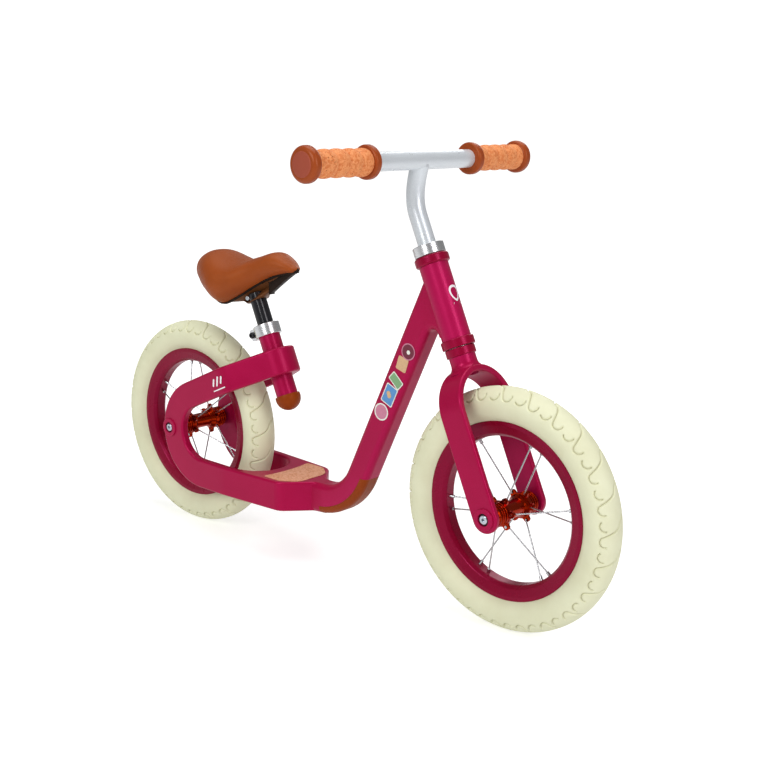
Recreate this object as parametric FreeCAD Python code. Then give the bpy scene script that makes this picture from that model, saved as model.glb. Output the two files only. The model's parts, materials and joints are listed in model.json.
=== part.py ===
import FreeCAD, Part
import math
import os

# Balance bike with 12 inch wheels.  Millimetres, +X forward, +Y to the rider's left, +Z up.
# The origin is on the ground, midway between the two wheels.

V = FreeCAD.Vector
Y_AXIS = V(0, 1, 0)
Z_AXIS = V(0, 0, 1)

# Driving dimensions
WHEELBASE = 547.0
TYRE_RADIUS = 145.0
TYRE_HALF_WIDTH = 22.0
TYRE_HALF_HEIGHT = 21.0
HEAD_ANGLE = 65.1
SEAT_ANGLE = 65.0
DOWN_TUBE_ANGLE = 66.0

REAR_X = -WHEELBASE / 2
FRONT_X = WHEELBASE / 2
AXLE_Z = TYRE_RADIUS
RUNNING_CLEARANCE = 0.05
FACE_GAP = 0.4

# Frame
STAY_INNER_Y = 43.0
STAY_OUTER_Y = 55.0
STAY_BOTTOM_Z = 70.5
STAY_TOP_Z = 110.5
STAY_EDGE_RADIUS = 3.0
LOOP_REAR = -13.5
LOOP_INNER_REAR = 26.5
ARM_LOW = 145.3
ARM_HIGH = 180.9
COLLAR_RADIUS = 27.0
ARM_TAPER_ANGLE = 25.4
ARM_INNER_OFFSET = 14.0
CUTOUT_FRONT = 165.0
FOOTREST_HALF_WIDTH = 47.5
PAD_HALF_WIDTH = 42.0
SPINE_HALF_WIDTH = 15.0
SPINE_DEPTH = 34.0
SPINE_REAR_OFFSET = 218.6
SPINE_EDGE_RADIUS = 8.0
BEND_OUTER_RADIUS = 95.0
BEND_INNER_RADIUS = 52.0
GUARD_TOP_Z = 134.5
GUARD_DEPTH = 10.0
GUARD_SETBACK = 8.5

# Seat tube, in its own frame: w runs up the tube
SEAT_AXIS_OFFSET = 253.0
SEAT_TUBE_RADIUS = 14.5
SEAT_TUBE_BOTTOM = 119.0
SEAT_TUBE_TOP = 216.5
SEAT_POST_RADIUS = 11.0
SEAT_POST_BOTTOM = 140.0
SEAT_POST_TOP = 262.0
SEAT_CLAMP_LOW = 202.3
SEAT_CLAMP_HIGH = 218.0
SEAT_CLAMP_RADIUS = 17.75
CAP_DOME_RADIUS = 17.0
SOCKET_RADIUS = 16.5

# Steering, stations measured up the steering axis from the front axle
HEAD_LOW = 207.0
HEAD_HIGH = 298.0
HEAD_RADIUS = 17.65
HEAD_BORE = 15.6
RACE_LOW = 186.5
CUP_LOW = 196.5
UPPER_CUP_HIGH = 309.0
CLAMP_LOW = 309.4
CLAMP_HIGH = 322.0
CLAMP_RADIUS = 19.0
STEM_CLAMP_TURN = 55.0
STEERER_RADIUS = 13.5
STEM_RADIUS = 11.0
LEG_OUTER = 50.5
LEG_INNER = 42.5
LEG_HALF_DEPTH = 17.0
ARCH_CENTRE = 121.5
NECK_RADIUS = 16.0
FORK_EDGE_RADIUS = 2.5

# Handlebar
BAR_STATION = 416.4
BAR_FORWARD = 28.8
BAR_HALF_LENGTH = 190.0
STEM_BEND_RADIUS = 30.0
STEM_BEND_STATION = 384.0
STEM_BOTTOM = 232.0
GRIP_END = 195.5
GRIP_INNER = 88.5
FLANGE_RADIUS = 19.4
FLANGE_THICKNESS = 10.0
CAP_RADIUS = 20.2
CAP_THICKNESS = 13.0
CAP_ROUNDING = 5.2
SLEEVE_RADIUS = 14.7
CORE_RADIUS = 12.5

# Wheels
RIM_OUTER = 106.3
RIM_HALF_WIDTH = 13.2
RIM_INNER = 88.0
RIM_WALL = 2.6
RIM_FLOOR = 3.5
RIM_WALL_SLOPE = 0.15
FLANGE_Y = 20.0
LOBES = 6
LOBE_CIRCLE = 17.0
LOBE_RADIUS = 4.0
FLANGE_HALF = 1.6
HUB_HALF = 39.0
RIDGES = 3
NIPPLE_OUTER = 90.5
BOLT_GRIP = 16.0
SPOKE_RADIUS = 0.9
SPOKE_SPREAD = 5.0
NIPPLE_RADIUS = 2.0
NIPPLE_LENGTH = 8.0
FRONT_PHASE = 8.0
REAR_PHASE = -25.0
AXLE_RADIUS = 5.0
BEARING_RADIUS = 11.0
BEARING_WIDTH = 7.0
BEARING_OUTER_Y = 38.0
BOSS_RADIUS = 13.0
BOSS_HEIGHT = 2.0
RECESS_RADIUS = 7.5
RECESS_DEPTH = 4.5
BOLT_RADIUS = 5.6
BOLT_SHANK_RADIUS = 3.0


# Local frames: local Z runs up the tube, local X points forward, local Y is the row's Y.
def tilted_frame(x, z, angle):
    turn = FreeCAD.Rotation(Y_AXIS, angle - 90)
    return FreeCAD.Placement(V(x, 0, z), turn)


STEERING = tilted_frame(FRONT_X, AXLE_Z, HEAD_ANGLE)
SEAT_TILT = math.radians(90 - SEAT_ANGLE)
SEAT = tilted_frame(
    REAR_X + SEAT_AXIS_OFFSET * math.cos(SEAT_TILT),
    SEAT_AXIS_OFFSET * math.sin(SEAT_TILT),
    SEAT_ANGLE,
)


def placed(shape, frame):
    moved = shape.copy()
    moved.Placement = frame.multiply(moved.Placement)
    return moved


# Drawing helpers
def outline(points, to_space):
    """Closed wire through (a, b) or (a, b, corner_radius) points, mapped by to_space(a, b)."""
    count = len(points)
    cuts = []
    for i, point in enumerate(points):
        here = V(point[0], point[1], 0)
        radius = point[2] if len(point) > 2 else 0
        if not radius:
            cuts.append((here, None, here))
            continue
        before = V(*points[i - 1][:2], 0) - here
        after = V(*points[(i + 1) % count][:2], 0) - here
        before.normalize()
        after.normalize()
        half = before.getAngle(after) / 2
        reach = radius / math.tan(half)
        bisector = before + after
        bisector.normalize()
        middle = here + bisector * (radius / math.sin(half) - radius)
        cuts.append((here + before * reach, middle, here + after * reach))
    edges = []
    for i, (start, middle, end) in enumerate(cuts):
        if middle is not None:
            arc = Part.Arc(to_space(start.x, start.y), to_space(middle.x, middle.y), to_space(end.x, end.y))
            edges.append(arc.toShape())
        following = cuts[(i + 1) % count][0]
        if (following - end).Length > 1e-4:
            edges.append(Part.makeLine(to_space(end.x, end.y), to_space(following.x, following.y)))
    return Part.Wire(edges)


def side_prism(points, y_low, y_high):
    """Prism of an outline in the XZ plane, x counted from the rear axle."""
    face = Part.Face(outline(points, lambda a, b: V(REAR_X + a, y_low, b)))
    return face.extrude(V(0, y_high - y_low, 0))


def plan_prism(points, z_low, z_high):
    """Prism of an outline in the XY plane, x counted from the rear axle."""
    face = Part.Face(outline(points, lambda a, b: V(REAR_X + a, b, z_low)))
    return face.extrude(V(0, 0, z_high - z_low))


def local_prism(points, z_low, z_high):
    face = Part.Face(outline(points, lambda a, b: V(a, b, z_low)))
    return face.extrude(V(0, 0, z_high - z_low))


def revolved(points):
    """Solid of an outline of (radius, height) points turned about local Z."""
    face = Part.Face(outline(points, lambda a, b: V(a, 0, b)))
    return face.revolve(V(0, 0, 0), Z_AXIS, 360)


def ring(outer, inner, z_low, z_high, rounding=0.0):
    corners = [(inner, z_low), (outer, z_low, rounding), (outer, z_high, rounding), (inner, z_high)]
    if inner == 0:
        return revolved([(0, z_low), (outer, z_low, rounding), (outer, z_high, rounding), (0, z_high)])
    return revolved(corners)


def mirrored(points):
    """The half outline and its mirror image across the centre plane, as one closed outline."""
    return points + [(p[0], -p[1], *p[2:]) for p in reversed(points)]


def across(shape, x, z):
    """Turns a shape from local Z to row Y, about the point (x, z)."""
    return placed(shape, FreeCAD.Placement(V(x, 0, z), FreeCAD.Rotation(V(1, 0, 0), -90)))


def both_sides(shape):
    return [shape, shape.mirror(V(0, 0, 0), Y_AXIS)]


def fused(shapes):
    return shapes[0].multiFuse(shapes[1:]).removeSplitter()


def hexagon(corner_radius, z_low, z_high):
    corners = []
    for i in range(6):
        angle = math.radians(60 * i)
        corners.append((corner_radius * math.cos(angle), corner_radius * math.sin(angle)))
    return local_prism(corners, z_low, z_high)


def hex_socket(corner_radius, depth, top):
    """Hexagonal key socket, its mouth at local height top."""
    return hexagon(corner_radius, top - depth, top + 1)


def seat_plane(t, w):
    """Point (x from the rear axle, z) at distance t along the arms and w up the seat tube."""
    c = math.cos(SEAT_TILT)
    s = math.sin(SEAT_TILT)
    return (t * c - w * s, t * s + w * c)


def spine_line(offset, z):
    """x, from the rear axle, of the down tube's edge line at height z."""
    slope = math.radians(DOWN_TUBE_ANGLE)
    return (offset + z * math.cos(slope)) / math.sin(slope)


def steering_x(z, offset=0.0):
    """x, from the rear axle, of a line parallel to the steering axis, offset forward of it."""
    tilt = math.radians(HEAD_ANGLE)
    return WHEELBASE - (z - AXLE_Z) / math.tan(tilt) + offset / math.sin(tilt)


def line_meeting(offset, steering_offset):
    """Point where a down tube edge line meets a line parallel to the steering axis."""
    low, high = AXLE_Z, 600.0
    for _ in range(60):
        z = (low + high) / 2
        if spine_line(offset, z) < steering_x(z, steering_offset):
            low = z
        else:
            high = z
    return (spine_line(offset, z), z)


# Frame
def loop_corners(rear, stay_z, arm_w):
    """Two corners, with the radius that makes one round loop, between a stay, the rear and an arm."""
    s = math.sin(SEAT_TILT)
    c = math.cos(SEAT_TILT)
    corner_z = (arm_w + rear * s) / c
    radius = (arm_w + rear * s - stay_z * c) / (1 + c - s)
    return [(rear, stay_z, radius), (rear, corner_z, radius)]


def stay_loops():
    """The two side plates: lower stay, loop round the dropout and upper arm."""
    arm_end = 188.0
    lower_end = 85.0
    outer = loop_corners(LOOP_REAR, STAY_BOTTOM_Z, ARM_HIGH)
    inner = loop_corners(LOOP_INNER_REAR, STAY_TOP_Z, ARM_LOW)
    points = [(lower_end, STAY_BOTTOM_Z)] + outer + [seat_plane(arm_end, ARM_HIGH)]
    points += [seat_plane(arm_end, ARM_LOW)] + inner[::-1] + [(lower_end, STAY_TOP_Z)]
    return both_sides(side_prism(points, STAY_INNER_Y, STAY_OUTER_Y))


def footrest():
    """Flat platform in front of the rear wheel, with the round wheel cutout behind it."""
    half = [
        (80.0, STAY_OUTER_Y),
        (110.0, STAY_OUTER_Y, 160.0),
        (213.0, FOOTREST_HALF_WIDTH, 21.0),
        (243.0, 12.5, 6.0),
        (262.0, 9.0),
    ]
    plate = plan_prism(mirrored(half), STAY_BOTTOM_Z, STAY_TOP_Z)
    slot = [
        (70.0, STAY_INNER_Y),
        (CUTOUT_FRONT, STAY_INNER_Y, STAY_INNER_Y - 1.0),
    ]
    return plate.cut(plan_prism(mirrored(slot), STAY_BOTTOM_Z - 5, STAY_TOP_Z + 5))


def wishbone():
    """The upper arms as they converge and wrap the seat tube."""
    taper = math.radians(ARM_TAPER_ANGLE)
    start = 184.0 - SEAT_AXIS_OFFSET

    def taper_x(offset, y):
        return (offset - y * math.cos(taper)) / math.sin(taper)

    outer = [
        (start, STAY_OUTER_Y),
        (taper_x(COLLAR_RADIUS, STAY_OUTER_Y), STAY_OUTER_Y, 40.0),
        (COLLAR_RADIUS * math.sin(taper), COLLAR_RADIUS * math.cos(taper)),
    ]
    inner_end = 3.0
    inner = [
        (start - 1, STAY_INNER_Y),
        (taper_x(ARM_INNER_OFFSET, STAY_INNER_Y), STAY_INNER_Y, 30.0),
        (inner_end, (ARM_INNER_OFFSET - inner_end * math.sin(taper)) / math.cos(taper)),
    ]
    strap = local_prism(mirrored(outer), ARM_LOW, ARM_HIGH)
    collar = ring(COLLAR_RADIUS, 0, ARM_LOW, ARM_HIGH)
    gap = local_prism(mirrored(inner), ARM_LOW - 5, ARM_HIGH + 5)
    return placed(fused([strap, collar]).cut(gap), SEAT)


def is_outer_edge(edge):
    """True for a lengthwise edge of the spine that stays outside the head tube and the footrest."""
    middle = edge.valueAt((edge.FirstParameter + edge.LastParameter) / 2)
    if edge.BoundBox.YLength > 1 or middle.x < REAR_X + 206:
        return False
    return middle.x - REAR_X < steering_x(middle.z, 2.0 - HEAD_RADIUS)


def spine():
    """Neck, bend and down tube, as one bar with round edges."""
    front_offset = SPINE_REAR_OFFSET + SPINE_DEPTH
    rear_end = 205.0
    inside_head = -2.0
    top = line_meeting(SPINE_REAR_OFFSET, inside_head)
    crotch = line_meeting(front_offset, -HEAD_RADIUS + 1.5)
    crotch_radius = 8.0
    low_z = AXLE_Z + (HEAD_LOW + 1) * math.sin(math.radians(HEAD_ANGLE))
    points = [
        (rear_end, STAY_BOTTOM_Z),
        (spine_line(front_offset, STAY_BOTTOM_Z), STAY_BOTTOM_Z, BEND_OUTER_RADIUS),
        (*crotch, crotch_radius),
        (steering_x(low_z, -HEAD_RADIUS + 1.5), low_z),
        (steering_x(low_z, inside_head), low_z),
        top,
        (spine_line(SPINE_REAR_OFFSET, STAY_TOP_Z), STAY_TOP_Z, BEND_INNER_RADIUS),
        (rear_end, STAY_TOP_Z),
    ]
    bar = side_prism(points, -SPINE_HALF_WIDTH, SPINE_HALF_WIDTH)
    return bar.makeFillet(SPINE_EDGE_RADIUS, [e for e in bar.Edges if is_outer_edge(e)])


def dropout_bosses():
    """Raised rings round the rear axle bolts, on the outer faces of the loops."""
    boss = ring(BOSS_RADIUS, 0, STAY_OUTER_Y - 1, STAY_OUTER_Y + BOSS_HEIGHT, 1.0)
    return both_sides(across(boss, REAR_X, AXLE_Z))


def bolt_bores(outer_y, inner_y):
    """Recess and clearance hole for the axle bolts in a dropout, both sides."""
    recess = ring(RECESS_RADIUS, 0, outer_y - RECESS_DEPTH, outer_y + 5)
    hole = ring(BOLT_SHANK_RADIUS + 0.1, 0, inner_y - 5, outer_y)
    return recess, hole


def clamp_slot(width, low, high, reach):
    return Part.makeBox(reach, width, high - low, V(-reach, -width / 2, low))


def whole_frame():
    flat_work = fused(stay_loops() + [footrest(), wishbone()])
    flat_work = flat_work.makeFillet(STAY_EDGE_RADIUS, rim_edges(flat_work))
    seat_tube = placed(ring(SEAT_TUBE_RADIUS, 0, SEAT_TUBE_BOTTOM, SEAT_TUBE_TOP), SEAT)
    head_tube = placed(ring(HEAD_RADIUS, 0, HEAD_LOW, HEAD_HIGH), STEERING)
    solid = fused([flat_work, spine(), seat_tube, head_tube] + dropout_bosses())
    seat_bore = ring(SEAT_POST_RADIUS + RUNNING_CLEARANCE, 0, SEAT_TUBE_BOTTOM - 5, SEAT_TUBE_TOP + 5)
    seat_slot = clamp_slot(2.5, SEAT_CLAMP_LOW - 6, SEAT_TUBE_TOP + 5, 20)
    head_bore = ring(HEAD_BORE, 0, HEAD_LOW - 5, HEAD_HIGH + 5)
    tools = [placed(seat_bore, SEAT), placed(seat_slot, SEAT), placed(head_bore, STEERING)]
    for bore in bolt_bores(STAY_OUTER_Y + BOSS_HEIGHT, STAY_INNER_Y):
        tools += both_sides(across(bore, REAR_X, AXLE_Z))
    return solid.cut(tools)


def rim_edges(shape):
    """Edges between two faces that meet at a real angle, leaving out tangent seams."""
    chosen = []
    for edge in shape.Edges:
        faces = [f for f in shape.Faces if any(edge.isSame(e) for e in f.Edges)]
        if len(faces) != 2:
            continue
        point = edge.valueAt((edge.FirstParameter + edge.LastParameter) / 2)
        normals = [f.normalAt(*f.Surface.parameter(point)) for f in faces]
        if abs(normals[0].dot(normals[1])) < 0.95:
            chosen.append(edge)
    return chosen


def guard_region(margin):
    """Room outside the bend for the corner guard, grown by the margin."""
    front_offset = SPINE_REAR_OFFSET + SPINE_DEPTH
    back_offset = front_offset - GUARD_DEPTH - margin
    corner_x = spine_line(front_offset, STAY_BOTTOM_Z)
    bend_start = corner_x - BEND_OUTER_RADIUS * math.tan(math.radians(DOWN_TUBE_ANGLE / 2))
    low = STAY_BOTTOM_Z - 5
    back_z = STAY_BOTTOM_Z + GUARD_DEPTH + margin
    top = GUARD_TOP_Z + margin
    points = [
        (bend_start - 10, low),
        (corner_x + 40, low),
        (corner_x + 90, top),
        (spine_line(back_offset, top), top),
        (spine_line(back_offset, back_z), back_z, BEND_OUTER_RADIUS - GUARD_DEPTH),
        (bend_start - 10, back_z),
    ]
    half_width = SPINE_HALF_WIDTH + 5
    ahead = V(REAR_X + bend_start + GUARD_SETBACK - margin, -half_width, 0)
    return side_prism(points, -half_width, half_width).common(Part.makeBox(200, 2 * half_width, 200, ahead))


def pad_region(inset, z_low, z_high):
    """Outline of the cork pad on the footrest, curved at the front and hollow at the rear."""
    half_width = PAD_HALF_WIDTH - inset
    half = [
        (177.0 + inset, half_width, 3.0),
        (207.0 - inset, half_width, 16.0),
        (229.0 - inset, 25.0, 20.0),
    ]
    rear_middle = (184.0 + inset, 0.0, 200.0)
    return plan_prism(mirrored(half) + [rear_middle], z_low, z_high)


def frame_parts():
    frame = whole_frame()
    pad_depth = 2.0
    pad_proud = 0.4
    recess = pad_region(0.0, STAY_TOP_Z - pad_depth, STAY_TOP_Z + 5)
    guard = frame.common(guard_region(-0.15))
    frame = frame.cut([recess, guard_region(0.0)])
    pad = pad_region(0.3, STAY_TOP_Z - pad_depth, STAY_TOP_Z + pad_proud)
    return {"main_frame": frame, "footrest_pad": pad, "corner_guard": guard}


def seat_tube_cap():
    """Rubber plug with a domed end, in the bottom of the seat tube."""
    rim = SEAT_TUBE_BOTTOM - 0.1
    dome = Part.makeSphere(CAP_DOME_RADIUS, V(0, 0, rim - 3.5))
    dome = dome.common(Part.makeBox(60, 60, 60, V(-30, -30, rim - 60)))
    return placed(fused([dome, ring(SEAT_POST_RADIUS - 0.3, 0, rim - 5, rim + 8)]), SEAT)


def band_clamp(bore, outer, low, high, ear_reach):
    """Split band with two ears behind it, and the cross hole for its bolt."""
    height = high - low
    band = ring(outer, 0, low, high, 0.8)
    ear = Part.makeBox(ear_reach, 15.0, height, V(-outer - ear_reach + 4, -7.5, low))
    ear = ear.makeFillet(2.0, [e for e in ear.Edges if e.BoundBox.YLength > 10])
    clamp = fused([band, ear]).cut(ring(bore, 0, low - 1, high + 1))
    slot = Part.makeBox(outer + ear_reach, 2.5, height + 2, V(-outer - ear_reach, -1.25, low - 1))
    hole = across(ring(2.6, 0, -10, 10), -outer - ear_reach / 2 + 2, (low + high) / 2)
    return clamp.cut([slot, hole])


def cross_bolt(outer, low, high, ear_reach):
    """Cap screw and its nut across a band clamp's ears, as two solids."""
    head = ring(4.2, 0, 7.6, 11.6, 0.8).cut(hex_socket(2.0, 2.2, 11.6))
    shank = ring(2.45, 0, -11.0, 7.6)
    screw = fused([head, shank])
    nut = hexagon(4.6, -11.2, -7.6).cut(ring(2.5, 0, -12, -7))
    turned = [across(s, 0, 0) for s in (screw, nut)]
    pair = Part.makeCompound(turned).mirror(V(0, 0, 0), Y_AXIS)
    pair.translate(V(-outer - ear_reach / 2 + 2, 0, (low + high) / 2))
    return pair


def seat_clamp_parts():
    ear = 13.0
    clamp = band_clamp(SEAT_TUBE_RADIUS + 0.05, SEAT_CLAMP_RADIUS, SEAT_CLAMP_LOW, SEAT_CLAMP_HIGH, ear)
    lip = ring(SEAT_TUBE_RADIUS + 1, SEAT_POST_RADIUS + 0.4, SEAT_TUBE_TOP + 0.1, SEAT_CLAMP_HIGH)
    clamp = fused([clamp, lip.cut(clamp_slot(2.5, SEAT_TUBE_TOP, SEAT_CLAMP_HIGH + 1, 30))])
    bolt = cross_bolt(SEAT_CLAMP_RADIUS, SEAT_CLAMP_LOW, SEAT_CLAMP_HIGH, ear)
    return {"seat_clamp": placed(clamp, SEAT), "seat_clamp_bolt": placed(bolt, SEAT)}


# Seat
def saddle_section(x, half_width, z_low, z_high, squareness):
    """Closed curve across the saddle at x from the rear axle."""
    mid = (z_low + z_high) / 2
    half_height = (z_high - z_low) / 2
    points = []
    for i in range(16):
        angle = 2 * math.pi * i / 16
        c = math.cos(angle)
        s = math.sin(angle)
        y = half_width * math.copysign(abs(c) ** squareness, c)
        z = mid + half_height * math.copysign(abs(s) ** squareness, s)
        points.append(V(REAR_X + x, y, z))
    curve = Part.BSplineCurve()
    curve.interpolate(points, PeriodicFlag=True)
    return Part.Wire(curve.toShape())


def saddle_cover():
    """Padded top: wide at the rear, a dip in the middle and a raised nose."""
    stations = [
        (12.0, 10.0, 355.0, 372.0),
        (22.0, 31.0, 341.0, 388.0),
        (45.0, 49.0, 334.0, 397.0),
        (75.0, 51.0, 334.0, 396.0),
        (100.0, 43.0, 338.0, 390.0),
        (130.0, 27.0, 352.0, 396.0),
        (165.0, 20.0, 373.0, 404.0),
        (187.0, 13.0, 384.0, 398.0),
        (196.0, 5.0, 387.0, 393.0),
    ]
    sections = [saddle_section(*s, 0.85) for s in stations]
    return Part.makeLoft(sections, True, False)


def saddle_base():
    """Moulded shell under the padding, with the socket for the seat post."""
    stations = [
        (40.0, 30.0, 330.0, 348.0),
        (70.0, 38.0, 327.0, 350.0),
        (100.0, 32.0, 331.0, 356.0),
        (135.0, 19.0, 346.0, 372.0),
        (168.0, 12.0, 364.0, 384.0),
    ]
    shell = Part.makeLoft([saddle_section(*s, 0.8) for s in stations], True, False)
    socket = placed(ring(SOCKET_RADIUS, 0, SEAT_POST_TOP - 12, SEAT_POST_TOP + 14, 2.0), SEAT)
    return fused([shell, socket])


def seat_parts():
    post = ring(SEAT_POST_RADIUS, SEAT_POST_RADIUS - 2, SEAT_POST_BOTTOM, SEAT_POST_TOP, 0.0)
    post = placed(post, SEAT)
    post_room = placed(ring(SEAT_POST_RADIUS + 0.05, 0, SEAT_POST_TOP - 20, SEAT_POST_TOP + 0.05), SEAT)
    cover = saddle_cover()
    base = saddle_base().cut(post_room)
    cover = cover.cut([base, post_room])
    cover = max(cover.Solids, key=lambda s: s.Volume)
    bolt = across(ring(3.2, 0, SOCKET_RADIUS + 0.05, SOCKET_RADIUS + 2.6, 0.8), 0, 0)
    bolt.translate(V(0, 0, SEAT_POST_TOP - 5))
    bolt = placed(bolt.mirror(V(0, 0, 0), Y_AXIS), SEAT)
    return {
        "saddle_cover": cover,
        "saddle_base": base.cut(bolt),
        "seat_post": post,
        "saddle_bolt": bolt,
    }


# Headset, fork and handlebar
def bearing(inner, outer, low, high):
    """Sealed bearing: one ring with a shallow groove in each face between its races."""
    groove_out = outer - (outer - inner) * 0.3
    groove_in = inner + (outer - inner) * 0.3
    body = ring(outer, inner, low, high)
    grooves = [
        ring(groove_out, groove_in, low - 1, low + 0.4),
        ring(groove_out, groove_in, high - 0.4, high + 1),
    ]
    return body.cut(grooves)


def headset_parts():
    race_bore = STEERER_RADIUS + RUNNING_CLEARANCE
    bearing_room = HEAD_BORE + 1.0
    lower_cup = ring(20.0, bearing_room, CUP_LOW + 0.3, HEAD_LOW - 0.05, 1.2)
    upper_cup = ring(20.75, bearing_room, HEAD_HIGH + 0.05, UPPER_CUP_HIGH - 0.2, 2.4)
    return {
        "lower_headset_cup": placed(lower_cup, STEERING),
        "upper_headset_cup": placed(upper_cup, STEERING),
        "lower_headset_bearing": placed(bearing(race_bore, bearing_room, 198.5, 205.5), STEERING),
        "upper_headset_bearing": placed(bearing(race_bore, bearing_room, 299.5, 306.5), STEERING),
    }


def fork():
    """Arched fork: one bent band for crown and legs, with the neck on top."""
    leg_bottom = -LEG_HALF_DEPTH
    crown_outer = [
        (LEG_OUTER, leg_bottom),
        (LEG_OUTER, ARCH_CENTRE + LEG_OUTER, LEG_OUTER - 0.01),
    ]
    crown_inner = [
        (LEG_INNER, leg_bottom - 5),
        (LEG_INNER, ARCH_CENTRE + LEG_INNER, LEG_INNER - 0.01),
    ]

    def arch(half):
        points = half + [(-p[0], *p[1:]) for p in reversed(half)]
        wire = outline(points, lambda a, b: V(-LEG_HALF_DEPTH, a, b))
        return Part.Face(wire).extrude(V(2 * LEG_HALF_DEPTH, 0, 0))

    band = arch(crown_outer).cut(arch(crown_inner))
    round_end = across(ring(LEG_HALF_DEPTH, 0, -LEG_OUTER - 1, LEG_OUTER + 1), 0, 0)
    tall = Part.makeBox(2 * LEG_HALF_DEPTH, 2 * LEG_OUTER + 2, 200, V(-LEG_HALF_DEPTH, -LEG_OUTER - 1, 0))
    band = band.common(fused([round_end, tall]))
    band = band.makeFillet(FORK_EDGE_RADIUS, rim_edges(band))
    neck = ring(NECK_RADIUS, 0, ARCH_CENTRE + LEG_INNER + 2, RACE_LOW - 0.05)
    flare = revolved([
        (0, ARCH_CENTRE + LEG_INNER + 2),
        (NECK_RADIUS + 9.0, ARCH_CENTRE + LEG_INNER + 2),
        (NECK_RADIUS, ARCH_CENTRE + LEG_OUTER + 1, 9.0),
        (NECK_RADIUS, ARCH_CENTRE + LEG_OUTER + 8),
        (0, ARCH_CENTRE + LEG_OUTER + 8),
    ])
    depth = 2 * LEG_HALF_DEPTH - 1.6
    flare = flare.common(Part.makeBox(depth, 200, 100, V(-depth / 2, -100, ARCH_CENTRE)))
    bosses = both_sides(across(ring(BOSS_RADIUS, 0, LEG_OUTER - 1, LEG_OUTER + BOSS_HEIGHT, 1.0), 0, 0))
    body = fused([band, neck, flare] + bosses)
    tools = [ring(STEERER_RADIUS, 0, ARCH_CENTRE, RACE_LOW + 5)]
    for bore in bolt_bores(LEG_OUTER + BOSS_HEIGHT, LEG_INNER):
        tools += both_sides(across(bore, 0, 0))
    return placed(body.cut(tools), STEERING)


def steering_parts():
    foot = ARCH_CENTRE + LEG_INNER + 1
    steerer = ring(STEERER_RADIUS - 0.02, STEM_RADIUS + RUNNING_CLEARANCE, foot, CLAMP_HIGH - 1)
    steerer = steerer.cut(clamp_slot(2.5, CLAMP_LOW - 2, CLAMP_HIGH + 1, 20))
    race = ring(18.0, STEERER_RADIUS, RACE_LOW, CUP_LOW - 0.3, 1.0)
    ear = 12.0
    clamp = band_clamp(STEERER_RADIUS, CLAMP_RADIUS, CLAMP_LOW, CLAMP_HIGH, ear)
    top_lip = ring(STEERER_RADIUS + 1, STEM_RADIUS + 0.4, CLAMP_HIGH - 0.9, CLAMP_HIGH)
    clamp = fused([clamp, top_lip.cut(clamp_slot(2.5, CLAMP_LOW, CLAMP_HIGH + 1, 30))])
    bolt = cross_bolt(CLAMP_RADIUS, CLAMP_LOW, CLAMP_HIGH, ear)
    turned = FreeCAD.Placement(V(0, 0, 0), FreeCAD.Rotation(Z_AXIS, -STEM_CLAMP_TURN))
    steerer, clamp, bolt = [placed(shape, turned) for shape in (steerer, clamp, bolt)]
    return {
        "fork": fork(),
        "steerer_tube": placed(steerer, STEERING),
        "crown_race": placed(race, STEERING),
        "stem_clamp": placed(clamp, STEERING),
        "stem_clamp_bolt": placed(bolt, STEERING),
    }


def stem():
    """Quill that rises from the steerer and bends forward into the bar."""
    low = V(0, 0, STEM_BOTTOM)
    corner = V(0, 0, STEM_BEND_STATION)
    end = V(BAR_FORWARD, 0, BAR_STATION)
    up = V(0, 0, 1)
    slope = (end - corner).normalize()
    turn = up.getAngle(slope)
    reach = STEM_BEND_RADIUS * math.tan(turn / 2)
    start = corner - up * reach
    finish = corner + slope * reach
    bisector = (slope - up).normalize()
    middle = corner + bisector * (STEM_BEND_RADIUS / math.cos(turn / 2) - STEM_BEND_RADIUS)
    path = Part.Wire([
        Part.makeLine(low, start),
        Part.Arc(start, middle, finish).toShape(),
        Part.makeLine(finish, end),
    ])
    section = Part.Wire(Part.makeCircle(STEM_RADIUS, low, up))
    return path.makePipeShell([section], True, False)


def handlebar_parts():
    stem_tube = stem()
    bar = ring(STEM_RADIUS, STEM_RADIUS - 2, -BAR_HALF_LENGTH, BAR_HALF_LENGTH)
    bar = across(bar, BAR_FORWARD, BAR_STATION)
    bar_room = across(ring(STEM_RADIUS, 0, -60, 60), BAR_FORWARD, BAR_STATION)
    parts = {"handlebar": bar, "stem": stem_tube.cut(bar_room)}
    parts["stem"] = max(parts["stem"].Solids, key=lambda s: s.Volume)
    cap_face = GRIP_END
    cap_back = cap_face - CAP_THICKNESS
    core = fused([
        ring(FLANGE_RADIUS, STEM_RADIUS, GRIP_INNER, GRIP_INNER + FLANGE_THICKNESS, 3.0),
        ring(CORE_RADIUS, STEM_RADIUS, GRIP_INNER + 1, cap_back - 0.05),
    ])
    sleeve = ring(SLEEVE_RADIUS, CORE_RADIUS, GRIP_INNER + FLANGE_THICKNESS, cap_back - 0.05)
    cap = ring(CAP_RADIUS, 0, cap_back, cap_face, CAP_ROUNDING)
    cap = cap.cut(ring(STEM_RADIUS, 0, cap_back - 1, BAR_HALF_LENGTH + 0.05))
    for name, piece in (("grip_core", core), ("grip_sleeve", sleeve), ("grip_cap", cap)):
        left, right = both_sides(across(piece, 0, 0))
        for side, shape in (("left", left), ("right", right)):
            shape.translate(V(BAR_FORWARD, 0, BAR_STATION))
            parts[side + "_" + name] = shape
    return {name: placed(shape, STEERING) for name, shape in parts.items()}


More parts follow.
